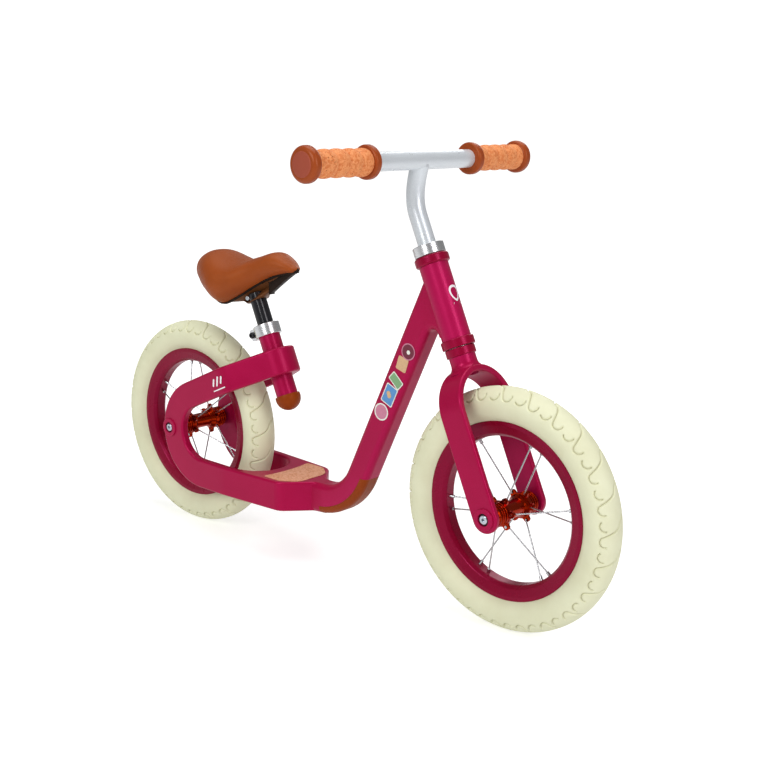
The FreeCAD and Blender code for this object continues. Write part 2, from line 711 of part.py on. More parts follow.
# Wheels, built round local Z and then turned across
def tyre():
    """Foam tyre: a round body whose foot fills the rim's channel."""
    centre = TYRE_RADIUS - TYRE_HALF_HEIGHT
    curve = Part.Ellipse(V(centre, 0, TYRE_HALF_WIDTH), V(centre + TYRE_HALF_HEIGHT, 0, 0), V(centre, 0, 0))
    seat_r = RIM_OUTER + 0.15
    sink = (centre - seat_r) / TYRE_HALF_HEIGHT
    half_seat = TYRE_HALF_WIDTH * math.sqrt(1 - sink * sink)
    top = V(seat_r, 0, half_seat)
    bottom = V(seat_r, 0, -half_seat)
    arc = elliptic_arc(curve, bottom, top)
    foot_r = 98.5
    wide = RIM_HALF_WIDTH - RIM_WALL - 0.15
    narrow = wide - (seat_r - foot_r) * RIM_WALL_SLOPE
    foot = [top, V(seat_r, 0, wide), V(foot_r, 0, narrow)]
    foot += [V(foot_r, 0, -narrow), V(seat_r, 0, -wide), bottom]
    edges = [arc] + [Part.makeLine(a, b) for a, b in zip(foot, foot[1:])]
    face = Part.Face(Part.Wire(edges))
    return face.revolve(V(0, 0, 0), Z_AXIS, 360)


def elliptic_arc(curve, start, end):
    """The part of the ellipse from start to end that goes round the crown."""
    first = curve.parameter(start)
    last = curve.parameter(end)
    arc = curve.toShape(first, last) if last > first else curve.toShape(first, last + 2 * math.pi)
    if arc.BoundBox.XMax < TYRE_RADIUS - 0.1:
        arc = curve.toShape(last, first) if first > last else curve.toShape(last, first + 2 * math.pi)
    return arc


def rim():
    """Channel rim with a hole for each spoke nipple."""
    floor_r = RIM_INNER + RIM_FLOOR
    channel = RIM_HALF_WIDTH - RIM_WALL
    upper = [
        (RIM_INNER, 7.0, 3.0),
        (RIM_INNER + 3.5, 11.0, 2.5),
        (RIM_OUTER - 5.0, RIM_HALF_WIDTH, 2.0),
        (RIM_OUTER, RIM_HALF_WIDTH, 0.8),
        (RIM_OUTER, channel, 0.8),
        (floor_r, channel - (RIM_OUTER - floor_r) * RIM_WALL_SLOPE),
    ]
    lower = [(p[0], -p[1], *p[2:]) for p in reversed(upper)]
    return revolved(upper + lower)


def spoke_ends(index, side, phase):
    """Where a spoke leaves its flange hole and where it meets the rim."""
    lobe = math.radians(phase + 360 / LOBES * index)
    seat = lobe + math.radians(SPOKE_SPREAD * side)
    start_height = side * (FLANGE_Y - FLANGE_HALF - SPOKE_RADIUS)
    start = V(LOBE_CIRCLE * math.cos(lobe), LOBE_CIRCLE * math.sin(lobe), start_height)
    end = V(NIPPLE_OUTER * math.cos(seat), NIPPLE_OUTER * math.sin(seat), 0)
    return start, end


def spokes_and_nipples(phase):
    spokes = []
    nipples = []
    for side in (-1, 1):
        for index in range(LOBES):
            start, end = spoke_ends(index, side, phase)
            run = end - start
            direction = V(run).normalize()
            nipple_start = end - direction * NIPPLE_LENGTH
            rod = Part.makeCylinder(SPOKE_RADIUS, run.Length - 2.0, start, direction)
            elbow = Part.makeSphere(SPOKE_RADIUS, start)
            pin_top = V(start.x, start.y, side * (FLANGE_Y + FLANGE_HALF + 0.8))
            pin = Part.makeCylinder(SPOKE_RADIUS, (pin_top - start).Length, start, V(0, 0, side))
            head_low = V(start.x, start.y, side * (FLANGE_Y + FLANGE_HALF + 0.05))
            head = Part.makeCylinder(1.7, 0.9, head_low, V(0, 0, side))
            spokes.append(fused([rod, elbow, pin, head]))
            body = Part.makeCylinder(NIPPLE_RADIUS, NIPPLE_LENGTH, nipple_start, direction)
            nipples.append(body.cut(Part.makeCylinder(SPOKE_RADIUS, run.Length - 1.9, start, direction)))
    return spokes, nipples


def hub_flange(side, phase):
    """Star flange with a drilled lobe for each spoke."""
    middle = side * FLANGE_Y
    low = middle - FLANGE_HALF
    high = middle + FLANGE_HALF
    disc = ring(LOBE_CIRCLE - 1.8, 0, low, high)
    lobes = []
    for index in range(LOBES):
        angle = math.radians(phase + 360 / LOBES * index)
        centre = V(LOBE_CIRCLE * math.cos(angle), LOBE_CIRCLE * math.sin(angle), 0)
        lobe = ring(LOBE_RADIUS, 0, low, high)
        lobe.translate(centre)
        lobes.append(lobe)
    star = fused([disc] + lobes)
    notches = [e for e in star.Edges if e.BoundBox.ZLength > 3 and is_notch(e)]
    star = star.makeFillet(2.5, notches)
    holes = []
    for index in range(LOBES):
        angle = math.radians(phase + 360 / LOBES * index)
        hole = ring(SPOKE_RADIUS + 0.1, 0, low - 1, high + 1)
        hole.translate(V(LOBE_CIRCLE * math.cos(angle), LOBE_CIRCLE * math.sin(angle), 0))
        holes.append(hole)
    return star, holes


def is_notch(edge):
    """True for an upright edge where a lobe runs into the flange's disc."""
    point = edge.valueAt(edge.FirstParameter)
    return abs(math.hypot(point.x, point.y) - (LOBE_CIRCLE - 1.8)) < 0.05


def hub(phase):
    """Hub shell: barrel, two star flanges and turned ridges towards each end."""
    profile = [
        (10.5, 13.0, 3.0),
        (14.5, FLANGE_Y - FLANGE_HALF, 1.0),
        (14.5, 25.0, 0.8),
    ]
    for i in range(RIDGES):
        base = 25.0 + 4.0 * i
        profile += [(12.4, base + 0.4, 0.5), (12.4, base + 1.6, 0.5)]
        profile += [(14.2, base + 2.2, 0.7), (14.2, base + 3.6, 0.7)]
    profile.append((13.2, HUB_HALF, 1.0))
    lower = [(p[0], -p[1], *p[2:]) for p in reversed(profile)]
    points = [(0, -HUB_HALF)] + lower + profile + [(0, HUB_HALF)]
    body = revolved(points)
    holes = []
    for side in (-1, 1):
        star, drilled = hub_flange(side, phase)
        body = fused([body, star])
        holes += drilled
    axle_room = ring(AXLE_RADIUS + 1.5, 0, -HUB_HALF - 1, HUB_HALF + 1)
    seats = [ring(BEARING_RADIUS, 0, BEARING_OUTER_Y - BEARING_WIDTH, HUB_HALF + 1)]
    seats.append(ring(BEARING_RADIUS, 0, -HUB_HALF - 1, BEARING_WIDTH - BEARING_OUTER_Y))
    return body.cut([axle_room] + seats + holes)


def wheel_bearings():
    inner = AXLE_RADIUS + RUNNING_CLEARANCE
    outer = BEARING_RADIUS - 0.01
    return both_z(bearing(inner, outer, BEARING_OUTER_Y - BEARING_WIDTH, BEARING_OUTER_Y))


def both_z(shape):
    return [shape, shape.mirror(V(0, 0, 0), Z_AXIS)]


def axle(inner_y):
    """Axle tube between the dropouts, with a shoulder outside each bearing."""
    shoulder = ring(8.0, 0, BEARING_OUTER_Y + FACE_GAP, inner_y - 0.02, 0.5)
    rod = ring(AXLE_RADIUS, 0, 0.02 - inner_y, inner_y - 0.02)
    bores = both_z(ring(BOLT_SHANK_RADIUS + 0.02, 0, inner_y - BOLT_GRIP, inner_y + 1))
    return fused([rod] + both_z(shoulder)).cut(bores)


def axle_bolts(inner_y, face_y):
    """Button head bolts and their washers, one at each dropout."""
    floor = face_y - RECESS_DEPTH
    washer = ring(RECESS_RADIUS - 0.2, BOLT_SHANK_RADIUS + 0.15, floor, floor + 1.0)
    head = ring(BOLT_RADIUS, 0, floor + 1.02, floor + 4.2, 1.4)
    shank = ring(BOLT_SHANK_RADIUS, 0, inner_y - BOLT_GRIP + 1, floor + 2.0)
    bolt = fused([head, shank]).cut(hex_socket(2.4, 2.2, floor + 4.2))
    return both_z(bolt), both_z(washer)


def wheel_parts(prefix, x, inner_y, outer_y, phase):
    spokes, nipples = spokes_and_nipples(phase)
    nipple_holes = []
    for side in (-1, 1):
        for index in range(LOBES):
            start, end = spoke_ends(index, side, phase)
            direction = (end - start).normalize()
            hole_start = end - direction * NIPPLE_LENGTH
            hole = Part.makeCylinder(NIPPLE_RADIUS + 0.05, NIPPLE_LENGTH + 2, hole_start, direction)
            nipple_holes.append(hole)
    bolts, washers = axle_bolts(inner_y, outer_y + BOSS_HEIGHT)
    groups = {
        "tyre": [tyre()],
        "rim": [rim().cut(nipple_holes)],
        "hub": [hub(phase)],
        "spokes": spokes,
        "nipples": nipples,
        "bearings": wheel_bearings(),
        "axle": [axle(inner_y)],
        "axle_bolts": bolts,
        "axle_washers": washers,
    }
    stand = FreeCAD.Placement(V(x, 0, AXLE_Z), FreeCAD.Rotation(V(1, 0, 0), 90))
    shapes = {}
    for name, solids in groups.items():
        shape = solids[0] if len(solids) == 1 else Part.makeCompound(solids)
        shapes[prefix + "_" + name] = placed(shape, stand)
    return shapes


def main():
    parts = frame_parts()
    parts["seat_tube_cap"] = seat_tube_cap()
    for group in (seat_clamp_parts, seat_parts, headset_parts, steering_parts, handlebar_parts):
        parts.update(group())
    parts.update(wheel_parts("front", FRONT_X, LEG_INNER, LEG_OUTER, FRONT_PHASE))
    parts.update(wheel_parts("rear", REAR_X, STAY_INNER_Y, STAY_OUTER_Y, REAR_PHASE))
    os.makedirs("parts", exist_ok=True)
    for name, shape in parts.items():
        shape.exportStep(os.path.join("parts", name + ".step"))


if __name__ == "__main__":
    main()
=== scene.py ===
import json
import math

import bpy
import numpy as np
from mathutils import Matrix, Vector


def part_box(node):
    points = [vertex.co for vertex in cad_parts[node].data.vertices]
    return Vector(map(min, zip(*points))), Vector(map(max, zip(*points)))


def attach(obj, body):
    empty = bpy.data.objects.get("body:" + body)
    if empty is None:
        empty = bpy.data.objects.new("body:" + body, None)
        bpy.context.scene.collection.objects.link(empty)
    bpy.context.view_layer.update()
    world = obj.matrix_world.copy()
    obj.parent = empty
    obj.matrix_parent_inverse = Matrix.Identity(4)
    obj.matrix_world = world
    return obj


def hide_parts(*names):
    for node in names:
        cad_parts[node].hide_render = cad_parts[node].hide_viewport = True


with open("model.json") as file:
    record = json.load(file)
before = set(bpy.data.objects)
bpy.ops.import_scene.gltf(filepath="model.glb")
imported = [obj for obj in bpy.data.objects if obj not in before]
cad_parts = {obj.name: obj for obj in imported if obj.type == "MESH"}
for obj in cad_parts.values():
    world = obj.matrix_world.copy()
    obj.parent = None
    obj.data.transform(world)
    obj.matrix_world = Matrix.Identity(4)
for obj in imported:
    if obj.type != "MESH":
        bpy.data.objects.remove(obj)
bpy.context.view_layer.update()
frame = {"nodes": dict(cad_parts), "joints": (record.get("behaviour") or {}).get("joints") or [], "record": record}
NODES = frame["nodes"]
MM = 0.001


# ---------------------------------------------------------------- places read from the frame
def centre(node):
    low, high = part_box(node)
    return (low + high) / 2


def joint_axis(name):
    joint = next(j for j in frame["joints"] if j["name"] == name)
    return Vector(joint["axis"]).normalized()


SIDE = Vector((0, 1, 0))
FRONT_HUB = centre("front_tyre")
REAR_HUB = centre("rear_tyre")
STEER_UP = joint_axis("steering")
STEER_FORWARD = SIDE.cross(STEER_UP)
SEAT_UP = joint_axis("seat_height")
SEAT_FORWARD = SIDE.cross(SEAT_UP)
BAR_CENTRE = centre("handlebar")


# ---------------------------------------------------------------- shader helpers
class Surface:
    """One procedural material: a Principled shader and the nodes that feed it."""

    def __init__(self, name, **sockets):
        self.material = bpy.data.materials.new(name)
        self.material.use_nodes = True
        self.tree = self.material.node_tree
        self.shader = self.tree.nodes["Principled BSDF"]
        self.place = self.add("ShaderNodeTexCoord").outputs["Object"]
        for socket, value in sockets.items():
            self.shader.inputs[socket.replace("_", " ")].default_value = value

    def add(self, kind, **settings):
        node = self.tree.nodes.new(kind)
        for key, value in settings.items():
            setattr(node, key, value)
        return node

    def join(self, source, target):
        self.tree.links.new(source, target)

    def put(self, node, **values):
        for socket, value in values.items():
            target = node.inputs[socket.replace("_", " ")]
            if isinstance(value, bpy.types.NodeSocket):
                self.join(value, target)
            else:
                target.default_value = value
        return node

    def noise(self, scale, detail=3.0, roughness=0.5, place=None):
        node = self.add("ShaderNodeTexNoise")
        self.put(node, Vector=place or self.place, Scale=scale, Detail=detail, Roughness=roughness)
        return node.outputs["Fac"]

    def cells(self, scale, feature="F1", place=None, output="Distance"):
        node = self.add("ShaderNodeTexVoronoi", feature=feature)
        self.put(node, Vector=place or self.place, Scale=scale)
        return node.outputs[output]

    def stretched(self, x, y, z):
        node = self.add("ShaderNodeMapping")
        self.put(node, Vector=self.place, Scale=(x, y, z))
        return node.outputs["Vector"]

    def warped(self, scale, amount):
        """The object's own coordinates, pushed about by a noise."""
        noise = self.add("ShaderNodeTexNoise")
        self.put(noise, Vector=self.place, Scale=scale, Detail=2.0)
        push = self.add("ShaderNodeVectorMath", operation="SCALE")
        self.put(push, Vector=noise.outputs["Color"], Scale=amount)
        total = self.add("ShaderNodeVectorMath", operation="ADD")
        self.join(self.place, total.inputs[0])
        self.join(push.outputs["Vector"], total.inputs[1])
        return total.outputs["Vector"]

    def ramp(self, value, *stops):
        node = self.add("ShaderNodeValToRGB")
        elements = node.color_ramp.elements
        while len(elements) < len(stops):
            elements.new(0.5)
        for element, (position, colour) in zip(elements, stops):
            element.position = position
            element.color = (*colour, 1)
        self.join(value, node.inputs["Fac"])
        return node.outputs["Color"]

    def span(self, value, low, high, source=(0.0, 1.0)):
        node = self.add("ShaderNodeMapRange")
        self.put(node, Value=value, From_Min=source[0], From_Max=source[1], To_Min=low, To_Max=high)
        return node.outputs["Result"]

    def mix(self, factor, first, second):
        node = self.add("ShaderNodeMix", data_type="RGBA")
        for socket, value in ((node.inputs[0], factor), (node.inputs[6], first), (node.inputs[7], second)):
            if isinstance(value, bpy.types.NodeSocket):
                self.join(value, socket)
            elif isinstance(value, tuple):
                socket.default_value = (*value, 1)
            else:
                socket.default_value = value
        return node.outputs[2]

    def colour(self, value):
        self.join(value, self.shader.inputs["Base Color"])

    def rough(self, value):
        self.join(value, self.shader.inputs["Roughness"])

    def bump(self, height, distance, strength=1.0):
        """Adds a bump of that real height, in metres, on top of any earlier one."""
        node = self.add("ShaderNodeBump")
        self.put(node, Height=height, Distance=distance, Strength=strength)
        normal = self.shader.inputs["Normal"]
        if normal.is_linked:
            self.join(normal.links[0].from_socket, node.inputs["Normal"])
        self.join(node.outputs["Normal"], normal)

    def edges(self):
        """Near 1 on convex edges."""
        pointiness = self.add("ShaderNodeNewGeometry").outputs["Pointiness"]
        return self.span(pointiness, 0.0, 1.0, (0.52, 0.62))


# ---------------------------------------------------------------- materials
WARM = (1.0, 0.55, 0.35, 1)


def paint(name, body, deep, light, roughness, tint):
    """Satin metallic paint: fine flakes, soft orange peel and a painted highlight along convex edges."""
    s = Surface(name, Metallic=0.12, Specular_Tint=(*tint, 1), Coat_Weight=0.06, Coat_Roughness=0.2)
    flakes = s.cells(2600.0, output="Color")
    grey = s.add("ShaderNodeSeparateColor")
    s.join(flakes, grey.inputs[0])
    flake = s.span(grey.outputs[0], 0.0, 0.22)
    cloud = s.mix(s.span(s.noise(14.0, 2.0), 0.0, 0.35, (0.3, 0.7)), body, deep)
    spark = s.mix(flake, cloud, light)
    # painted highlight: convex edges, found by pointiness, are mixed towards the light flake colour
    s.colour(s.mix(s.span(s.edges(), 0.0, 0.25), spark, light))
    s.rough(s.span(s.noise(60.0, 4.0), roughness - 0.04, roughness + 0.05, (0.3, 0.7)))
    s.bump(s.noise(420.0, 2.0), 0.00004, 0.35)
    return s.material


def cork(name, light, middle, dark):
    """Pressed cork: pale granules of several browns, dark bark specks and small pits."""
    s = Surface(name, Specular_IOR_Level=0.25)
    place = s.warped(160.0, 0.0035)
    granules = s.add("ShaderNodeSeparateColor")
    s.join(s.cells(430.0, place=place, output="Color"), granules.inputs[0])
    base = s.ramp(granules.outputs[0], (0.0, middle), (0.45, light), (0.8, light), (1.0, middle))
    veined = s.mix(s.span(s.cells(430.0, "DISTANCE_TO_EDGE", place), 0.45, 0.0, (0.0, 0.12)), base, middle)
    specks = s.span(s.noise(330.0, 5.0, 0.62), 0.0, 1.0, (0.6, 0.68))
    rare = s.span(s.noise(95.0, 2.0), 0.15, 1.0, (0.42, 0.6))
    both = s.add("ShaderNodeMath", operation="MULTIPLY")
    s.join(specks, both.inputs[0])
    s.join(rare, both.inputs[1])
    s.colour(s.mix(both.outputs[0], veined, dark))
    s.rough(s.span(granules.outputs[1], 0.6, 0.85))
    s.bump(s.cells(430.0, "DISTANCE_TO_EDGE", place), 0.0003, 0.5)
    s.bump(s.noise(900.0, 3.0), 0.00015, 0.4)
    return s.material


def moulded(name, body, deep, roughness, grain, specular=0.5, coat=0.0):
    """Moulded rubber or plastic with a faint eroded grain."""
    s = Surface(name, Specular_IOR_Level=specular, Specular_Tint=WARM, Coat_Weight=coat, Coat_Roughness=0.25)
    s.colour(s.mix(s.span(s.noise(22.0, 3.0), 0.0, 1.0, (0.3, 0.75)), body, deep))
    s.rough(s.span(s.noise(180.0, 4.0), roughness - 0.06, roughness + 0.06, (0.3, 0.7)))
    s.bump(s.noise(1500.0, 3.0), grain, 0.5)
    return s.material


def turned_metal(name, tone, roughness, lines, depth=0.00001):
    """Bare metal with fine machining lines: lines gives the scale along x, y and z."""
    s = Surface(name, Metallic=1.0)
    streaks = s.noise(1.0, 5.0, 0.6, s.stretched(*lines))
    dark = tuple(c * 0.82 for c in tone)
    s.colour(s.mix(s.span(streaks, 0.0, 1.0, (0.3, 0.7)), tone, dark))
    s.rough(s.span(streaks, roughness - 0.05, roughness + 0.07, (0.3, 0.7)))
    s.bump(streaks, depth, 0.4)
    return s.material


def silver_lacquer(name):
    """Satin silver paint over a steel tube."""
    s = Surface(name, Metallic=0.35, Coat_Weight=0.3, Coat_Roughness=0.2)
    flakes = s.noise(2400.0, 1.0)
    s.colour(s.ramp(flakes, (0.3, (0.66, 0.71, 0.75)), (0.7, (0.80, 0.84, 0.87))))
    s.rough(s.span(s.noise(90.0, 4.0), 0.27, 0.36, (0.3, 0.7)))
    s.bump(s.noise(500.0, 2.0), 0.00003, 0.3)
    return s.material


def gloss_black(name, roughness):
    s = Surface(name, Specular_IOR_Level=0.4)
    s.colour(s.ramp(s.noise(35.0, 4.0), (0.35, (0.006, 0.006, 0.008)), (0.75, (0.02, 0.02, 0.024))))
    scratches = s.noise(1.0, 4.0, 0.6, s.stretched(900.0, 900.0, 60.0))
    s.rough(s.span(scratches, roughness, roughness + 0.12, (0.4, 0.75)))
    s.bump(scratches, 0.00001, 0.2)
    return s.material


def tyre_foam(name):
    """Cream moulded foam: closed skin with a faint mottle and fine pores, and painted shade darkening the tread
    grooves.
    """
    s = Surface(name, Specular_IOR_Level=0.3)
    cream = (0.78, 0.79, 0.56)
    shade = (0.71, 0.71, 0.48)
    # groove is the colour of the painted shade in concave places of the tread
    groove = (0.40, 0.36, 0.23)
    skin = s.mix(s.span(s.noise(30.0, 4.0, 0.6), 0.0, 0.8, (0.35, 0.75)), cream, shade)
    # painted shade: concave places, found by pointiness, are darkened towards the groove colour
    painted_groove_shade = s.span(s.add("ShaderNodeNewGeometry").outputs["Pointiness"], 0.75, 0.0, (0.40, 0.485))
    s.colour(s.mix(painted_groove_shade, skin, groove))
    s.rough(s.span(s.noise(140.0, 4.0), 0.5, 0.66, (0.3, 0.7)))
    s.bump(s.noise(1300.0, 4.0, 0.6), 0.00012, 0.4)
    s.bump(s.noise(120.0, 2.0), 0.0003, 0.15)
    return s.material


def leather(name):
    """Smooth synthetic leather: pebbled grain, lighter on its convex bulges."""
    s = Surface(name, Specular_IOR_Level=0.4, Specular_Tint=WARM, Coat_Weight=0.04, Coat_Roughness=0.25)
    body = (0.35, 0.072, 0.010)
    deep = (0.25, 0.044, 0.005)
    bulge_tone = (0.44, 0.11, 0.02)
    place = s.warped(500.0, 0.0006)
    base = s.mix(s.span(s.noise(18.0, 4.0), 0.0, 0.8, (0.3, 0.75)), body, deep)
    pebbles = s.cells(1500.0, "DISTANCE_TO_EDGE", place)
    creased = s.mix(s.span(pebbles, 0.35, 0.0, (0.0, 0.1)), base, deep)
    # a lighter colour is mixed in on convex bulges and edges, found by pointiness
    s.colour(s.mix(s.span(s.edges(), 0.0, 0.35), creased, bulge_tone))
    s.rough(s.span(s.noise(220.0, 4.0), 0.38, 0.52, (0.3, 0.7)))
    s.bump(s.span(pebbles, 0.0, 1.0, (0.0, 0.12)), 0.00006, 0.6)
    s.bump(s.noise(300.0, 3.0), 0.00008, 0.3)
    return s.material


def enamel(name, colour, roughness=0.4):
    """Thin printed ink or vinyl for the plain graphics."""
    s = Surface(name, Specular_IOR_Level=0.5)
    darker = tuple(c * 0.88 for c in colour)
    s.colour(s.mix(s.span(s.noise(700.0, 3.0), 0.0, 1.0, (0.35, 0.7)), colour, darker))
    s.rough(s.span(s.noise(400.0, 2.0), roughness - 0.05, roughness + 0.05))
    s.bump(s.noise(1200.0, 2.0), 0.00002, 0.3)
    return s.material


LILAC = (1.0, 0.12, 0.5)
MATERIALS = {
    # the third colour of each paint is its light flake colour and also the colour of its painted edge highlight
    "frame_paint": paint(
        "frame_paint", (0.37, 0.002, 0.040), (0.26, 0.0008, 0.020), (0.56, 0.015, 0.13), 0.33, LILAC
    ),
    "headset_paint": paint(
        "headset_paint", (0.27, 0.001, 0.02), (0.17, 0.0006, 0.01), (0.42, 0.008, 0.07), 0.28, LILAC
    ),
    "rim_paint": paint(
        "rim_paint", (0.22, 0.001, 0.016), (0.12, 0.0006, 0.008), (0.36, 0.008, 0.045), 0.28, LILAC
    ),
    "hub_anodised": turned_metal("hub_anodised", (0.42, 0.022, 0.002), 0.2, (30.0, 1600.0, 30.0)),
    "cork": cork("cork", (0.86, 0.34, 0.13), (0.68, 0.19, 0.055), (0.20, 0.03, 0.005)),
    "brown_rubber": moulded("brown_rubber", (0.30, 0.048, 0.002), (0.22, 0.030, 0.001), 0.45, 0.00006, 0.3),
    "brown_plastic": moulded(
        "brown_plastic", (0.34, 0.060, 0.010), (0.26, 0.040, 0.006), 0.36, 0.00004, 0.4, 0.1
    ),
    "bright_alloy": turned_metal("bright_alloy", (0.90, 0.91, 0.93), 0.25, (40.0, 40.0, 1500.0), 0.000002),
    "silver_tube": silver_lacquer("silver_tube"),
    "bolt_steel": turned_metal("bolt_steel", (0.62, 0.68, 0.74), 0.24, (700.0, 700.0, 700.0)),
    "black_steel": gloss_black("black_steel", 0.38),
    "black_tube": gloss_black("black_tube", 0.1),
    "bearing_steel": turned_metal("bearing_steel", (0.55, 0.55, 0.56), 0.3, (60.0, 900.0, 60.0)),
    "spoke_steel": turned_metal("spoke_steel", (0.60, 0.61, 0.63), 0.22, (500.0, 500.0, 500.0)),
    "tyre_foam": tyre_foam("tyre_foam"),
    "saddle_leather": leather("saddle_leather"),
    "saddle_shell": moulded("saddle_shell", (0.13, 0.045, 0.013), (0.085, 0.028, 0.008), 0.42, 0.00008),
}
PALE_CORK = cork("pale_cork", (0.74, 0.38, 0.24), (0.58, 0.24, 0.12), (0.20, 0.05, 0.015))
UNDERSIDE_BLACK = moulded("underside_black", (0.007, 0.006, 0.006), (0.004, 0.004, 0.004), 0.5, 0.00005, 0.25)
DISC_BROWN = moulded("disc_brown", (0.36, 0.075, 0.045), (0.29, 0.055, 0.03), 0.5, 0.00004, 0.4)
PRINT_WHITE = enamel("print_white", (0.93, 0.90, 0.92))
STICKERS = {
    "cream": enamel("sticker_cream", (0.70, 0.45, 0.24)),
    "green": enamel("sticker_green", (0.22, 0.42, 0.20)),
    "blue": enamel("sticker_blue", (0.10, 0.30, 0.62)),
    "plum": enamel("sticker_plum", (0.16, 0.012, 0.035)),
    "pink": enamel("sticker_pink", (0.62, 0.22, 0.33)),
    "pale": enamel("sticker_pale", (0.86, 0.88, 0.80)),
}


def dress_cad_nodes():
    for part in frame["record"]["subparts"]:
        node = NODES[part["node"]]
        for slot in node.material_slots:
            slot.material = MATERIALS[part["material_slot"]]
    NODES["footrest_pad"].material_slots[0].material = PALE_CORK


# ---------------------------------------------------------------- mesh helpers
def mesh_object(name, vertices, faces, material, smooth=True):
    """New object in the scene from points in metres."""
    mesh = bpy.data.meshes.new(name)
    mesh.from_pydata([tuple(v) for v in vertices], [], faces)
    mesh.update()
    piece = bpy.data.objects.new(name, mesh)
    bpy.context.scene.collection.objects.link(piece)
    mesh.materials.append(material)
    if smooth:
        mesh.shade_smooth()
    return piece


def grid_faces(rows, columns, closed_rows=False, closed_columns=False):
    """Quads over a grid of points stored row by row."""
    faces = []
    for i in range(rows if closed_rows else rows - 1):
        for j in range(columns if closed_columns else columns - 1):
            a = i * columns + j
            b = i * columns + (j + 1) % columns
            c = ((i + 1) % rows) * columns + (j + 1) % columns
            d = ((i + 1) % rows) * columns + j
            faces.append((a, b, c, d))
    return faces


def end_caps(rows, columns):
    """The two faces that close the first and the last row of a grid with closed columns."""
    end = rows * columns
    return [tuple(reversed(range(columns))), tuple(range(end - columns, end))]


def smooth_through(knots, values, x):
    """Smooth curve through the points (knots, values), read at x."""
    knots = np.asarray(knots, float)
    values = np.asarray(values, float)
    slopes = np.gradient(values, knots)
    i = np.clip(np.searchsorted(knots, x) - 1, 0, len(knots) - 2)
    width = knots[i + 1] - knots[i]
    t = (x - knots[i]) / width
    a = (1 + 2 * t) * (1 - t) ** 2
    b = t * (1 - t) ** 2 * width
    c = t * t * (3 - 2 * t)
    d = t * t * (t - 1) * width
    return a * values[i] + b * slopes[i] + c * values[i + 1] + d * slopes[i + 1]


# ---------------------------------------------------------------- tyres
PITCHES = 24
PITCH_STEPS = 52
CRESCENT_RADIUS = 6.7 * MM
CRESCENT_OFFSET = 18.5 * MM
CRESCENT_START = 171
CRESCENT_END = 315
WAVE_SHOULDER = 11.0 * MM
WAVE_SHOULDER_ANGLE = 66
WAVE_CROWN = 8.0 * MM
WAVE_CROWN_ANGLE = 22
GROOVE_HALF_WIDTH = 1.5 * MM
GROOVE_DEPTH = 2.1 * MM
GROOVE_FLAT_SHARE = 0.25
SECTION_TALL = 21
SECTION_WIDE = 22


def heading(length, degrees):
    return length * np.array((math.cos(math.radians(degrees)), math.sin(math.radians(degrees))))


def bezier(points, count):
    """Points along a cubic curve given by its two ends and two handles."""
    t = np.linspace(0, 1, count)[:, None]
    a, b, c, d = (np.array(p) for p in points)
    return a * (1 - t) ** 3 + 3 * b * t * (1 - t) ** 2 + 3 * c * t * t * (1 - t) + d * t ** 3


def tread_lines(pitch):
    """Points on the grooves of one pitch: x along the crown, y across it from the middle."""
    angles = np.radians(np.linspace(CRESCENT_START, CRESCENT_END, 60))
    middle = np.array((-pitch / 2, -CRESCENT_OFFSET))
    crescent = middle + CRESCENT_RADIUS * np.column_stack((np.cos(angles), np.sin(angles)))
    start = crescent[-1]
    shoulder = start + heading(WAVE_SHOULDER, WAVE_SHOULDER_ANGLE)
    crown = -heading(WAVE_CROWN, WAVE_CROWN_ANGLE)
    wave = bezier((start, shoulder, crown, np.zeros(2)), 90)
    lines = []
    for sign in (1, -1):
        lines += [sign * crescent, sign * wave, sign * (crescent + np.array((pitch / 2, 0)))]
    points = np.vstack(lines)
    return np.vstack([points + np.array((k * pitch, 0)) for k in (-1, 0, 1)])


def groove_depth(along, across, lines):
    """How deep the tread is cut at each (along, across) place."""
    gaps = (along[:, None] - lines[None, :, 0]) ** 2 + (across[:, None] - lines[None, :, 1]) ** 2
    near = np.sqrt(gaps.min(axis=1)) / GROOVE_HALF_WIDTH
    t = np.clip((near - GROOVE_FLAT_SHARE) / (1 - GROOVE_FLAT_SHARE), 0, 1)
    return GROOVE_DEPTH * (1 - t * t * (3 - 2 * t))


def tyre_profile(node, rim_node):
    """Angles round the tyre's section, and the section's own sizes."""
    low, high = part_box(node)
    outer = (high.z - low.z) / 2
    half_width = (high.y - low.y) / 2
    rim_low, rim_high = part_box(rim_node)
    rim_radius = (rim_high.z - rim_low.z) / 2
    rim_gap = 0.2 * MM
    half_height = half_width * SECTION_TALL / SECTION_WIDE
    ring_radius = outer - half_height
    last = math.acos((rim_radius + rim_gap - ring_radius) / half_height)
    tread_edge = math.radians(72)
    walls = np.linspace(tread_edge, last, 12)[1:]
    tread = np.linspace(-tread_edge, tread_edge, 84)
    return np.concatenate((-walls[::-1], tread, walls)), ring_radius, half_height, half_width, outer


